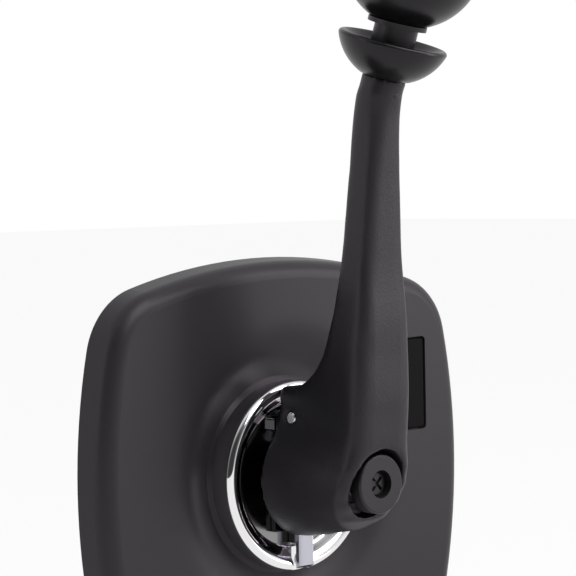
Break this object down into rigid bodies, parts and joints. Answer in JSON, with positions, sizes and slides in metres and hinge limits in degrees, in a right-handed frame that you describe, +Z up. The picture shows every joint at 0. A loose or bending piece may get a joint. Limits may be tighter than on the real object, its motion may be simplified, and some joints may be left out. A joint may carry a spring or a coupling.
{
  "type": "boat throttle control lever",
  "caption": "Side-mount boat throttle and shift lever with ball knob, lift-to-unlock neutral collar, chrome detent ring, trim cover and rear gear case with cable arms.",
  "frame": {"origin": "centre of the panel bolt pattern, where the lever's axis meets the panel's front face", "axes": "+Z up, -Y out of the panel towards the driver, -X forward on the boat"},
  "size_m": [0.166, 0.1456, 0.2641],
  "materials": {
    "black_moulding": "satin black moulded plastic",
    "badge": "satin black plate, bare",
    "lever_coat": "fine-grain satin black coat on cast aluminium",
    "chrome": "polished chrome",
    "bright_steel": "bright stainless steel",
    "steel": "machined steel",
    "black_steel": "black oxide",
    "zinc_steel": "zinc-plated steel",
    "knob_plastic": "polished black plastic",
    "button_plastic": "satin black plastic",
    "brass": "machined brass",
    "bronze": "sintered bronze",
    "cast_aluminium": "as cast",
    "rubber": "matt rubber",
    "nylon": "natural nylon",
    "switch_plastic": "matt black plastic"
  },
  "bodies": {
    "housing": {"trim_cover": "black_moulding", "badge_plate": "badge", "mounting_plate": "zinc_steel", "panel_gasket": "rubber", "detent_ring": "chrome", "ring_screws": "zinc_steel", "gear_case": "cast_aluminium", "case_cover": "cast_aluminium", "front_bush": "bronze", "rear_bush": "bronze", "arm_bushes": "bronze", "plate_screws": "zinc_steel", "case_screws": "zinc_steel", "bracket_screws": "zinc_steel", "neutral_switch": "switch_plastic", "switch_terminals": "brass", "switch_screws": "zinc_steel", "cable_bracket": "zinc_steel", "detent_spring": "steel"},
    "lever": {"lever_arm": "lever_coat", "cross_pin": "bright_steel", "set_screw": "black_steel", "hub_shaft": "steel", "retaining_ring": "black_steel", "guide_disc": "steel", "stem": "black_steel", "knob_washer": "black_steel", "knob_insert": "brass", "knob": "knob_plastic", "drive_gear": "steel", "detent_wheel": "steel", "lock_spring": "steel", "button_spring": "steel"},
    "collar": {"lock_collar": "knob_plastic", "lift_pin": "bright_steel"},
    "slider": {"lock_slider": "bright_steel", "lift_rod": "bright_steel"},
    "button": {"throttle_button": "button_plastic", "button_screw": "black_steel", "button_plunger": "steel"},
    "shift_drive": {"shift_gear": "steel", "shift_shaft": "steel", "shift_arm": "zinc_steel", "shift_nut": "zinc_steel"},
    "throttle_drive": {"throttle_gear": "steel", "throttle_shaft": "steel", "throttle_arm": "zinc_steel", "throttle_nut": "zinc_steel"},
    "detent": {"detent_plunger": "bright_steel"},
    "switch_plunger": {"switch_pin": "bright_steel"},
    "friction": {"friction_screw": "zinc_steel", "friction_pad": "nylon"}
  },
  "joints": [
    {"name": "lever_pivot", "type": "hinge", "parent": "housing", "child": "lever", "pos_m": [0, 0, 0], "axis": [0, 1, 0], "range_deg": [-90, 60]},
    {"name": "collar_lift", "type": "slide", "parent": "lever", "child": "collar", "axis": [0.0838, -0.2747, 0.9579], "range_m": [0, 0.0072], "stiffness_N_per_m": 800, "springref_m": -0.003, "deforming": ["lock_spring"]},
    {"name": "slider_lift", "type": "slide", "parent": "lever", "child": "slider", "axis": [0, 0, 1], "range_m": [0, 0.0072], "deforming": ["lock_spring"]},
    {"name": "button_press", "type": "slide", "parent": "lever", "child": "button", "axis": [0, 1, 0], "range_m": [0, 0.004], "stiffness_N_per_m": 600, "springref_m": -0.003, "deforming": ["button_spring"]},
    {"name": "shift_turn", "type": "hinge", "parent": "housing", "child": "shift_drive", "pos_m": [0.02298, 0, -0.02298], "axis": [0, 1, 0], "range_deg": [-38, 57]},
    {"name": "throttle_turn", "type": "hinge", "parent": "housing", "child": "throttle_drive", "pos_m": [-0.02298, 0, -0.02298], "axis": [0, 1, 0], "range_deg": [-38, 57]},
    {"name": "detent_press", "type": "slide", "parent": "housing", "child": "detent", "axis": [0, 0, -1], "range_m": [0, 0.0008], "stiffness_N_per_m": 1500, "springref_m": -0.002, "deforming": ["detent_spring"]},
    {"name": "switch_press", "type": "slide", "parent": "housing", "child": "switch_plunger", "axis": [0, 0, 1], "range_m": [0, 0.0008], "stiffness_N_per_m": 300, "springref_m": -0.002},
    {"name": "friction_turn", "type": "hinge", "parent": "housing", "child": "friction", "pos_m": [0.03, 0.027, 0], "axis": [1, 0, 0], "range_deg": [-180, 180]}
  ],
  "couplings": [
    {"joint": "slider_lift", "follows": "collar_lift", "ratio": 1},
    {"joint": "shift_turn", "follows": "lever_pivot", "ratio": -0.625},
    {"joint": "throttle_turn", "follows": "lever_pivot", "ratio": -0.625}
  ]
}
